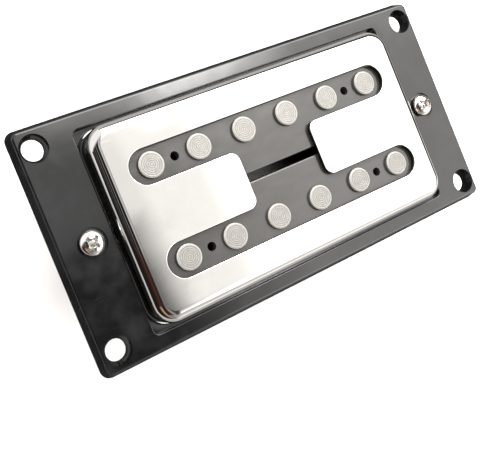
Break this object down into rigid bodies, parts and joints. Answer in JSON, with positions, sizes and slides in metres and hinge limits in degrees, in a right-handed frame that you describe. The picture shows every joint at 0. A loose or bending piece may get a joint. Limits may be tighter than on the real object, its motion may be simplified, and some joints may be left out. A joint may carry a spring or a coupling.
{
  "type": "guitar pickup",
  "caption": "Covered twin-coil guitar pickup in a flat black mounting ring, with two rows of steel slugs, a bright metal cover and sprung height screws.",
  "frame": {"origin": "centre of the four corner holes, in the plane of the mounting ring's underside", "axes": "+Z out of the guitar's top towards the strings, +X along the rows of poles, +Y across the two rows"},
  "size_m": [0.093, 0.047, 0.0293],
  "materials": {
    "ring_plastic": "glossy black moulded plastic",
    "cover_plate": "mirror polished plate on drawn sheet",
    "base_metal": "satin sheet metal",
    "bobbin_plastic": "satin dark moulded plastic",
    "copper_wire": "enamelled copper winding",
    "coil_tape": "matt black tape",
    "pole_steel": "turned and plated",
    "magnet_alloy": "ground sides, cast ends",
    "spacer_wood": "plain maple",
    "screw_brass": "plain brass",
    "screw_plate": "bright plated",
    "spring_steel": "drawn spring wire",
    "solder": "soft solder"
  },
  "bodies": {
    "ring": {"mounting_ring": "ring_plastic"},
    "pickup": {"cover": "cover_plate", "baseplate": "base_metal", "bobbin_front": "bobbin_plastic", "bobbin_back": "bobbin_plastic", "coil_front": "copper_wire", "coil_back": "copper_wire", "coil_tape_front": "coil_tape", "coil_tape_back": "coil_tape", "pole_front_1": "pole_steel", "pole_front_2": "pole_steel", "pole_front_3": "pole_steel", "pole_front_4": "pole_steel", "pole_front_5": "pole_steel", "pole_front_6": "pole_steel", "pole_back_1": "pole_steel", "pole_back_2": "pole_steel", "pole_back_3": "pole_steel", "pole_back_4": "pole_steel", "pole_back_5": "pole_steel", "pole_back_6": "pole_steel", "bar_magnet": "magnet_alloy", "spacer_front": "spacer_wood", "spacer_back": "spacer_wood", "bobbin_screws": "screw_brass", "solder_beads": "solder", "spring_left": "spring_steel", "spring_right": "spring_steel"},
    "screw_left": {"height_screw_left": "screw_plate"},
    "screw_right": {"height_screw_right": "screw_plate"}
  },
  "joints": [
    {"name": "left_screw_turn", "type": "hinge", "parent": "ring", "child": "screw_left", "pos_m": [-0.0396, 0, 0], "axis": [0, 0, 1], "range_deg": [-2400, 2400]},
    {"name": "right_screw_turn", "type": "hinge", "parent": "ring", "child": "screw_right", "pos_m": [0.0396, 0, 0], "axis": [0, 0, 1], "range_deg": [-2400, 2400]},
    {"name": "pickup_height", "type": "slide", "parent": "ring", "child": "pickup", "axis": [0, 0, 1], "range_m": [-0.003, 0.003], "deforming": ["spring_left", "spring_right"]}
  ],
  "couplings": [
    {"joint": "left_screw_turn", "follows": "pickup_height", "rad_per_m": -13963},
    {"joint": "right_screw_turn", "follows": "pickup_height", "rad_per_m": -13963}
  ]
}
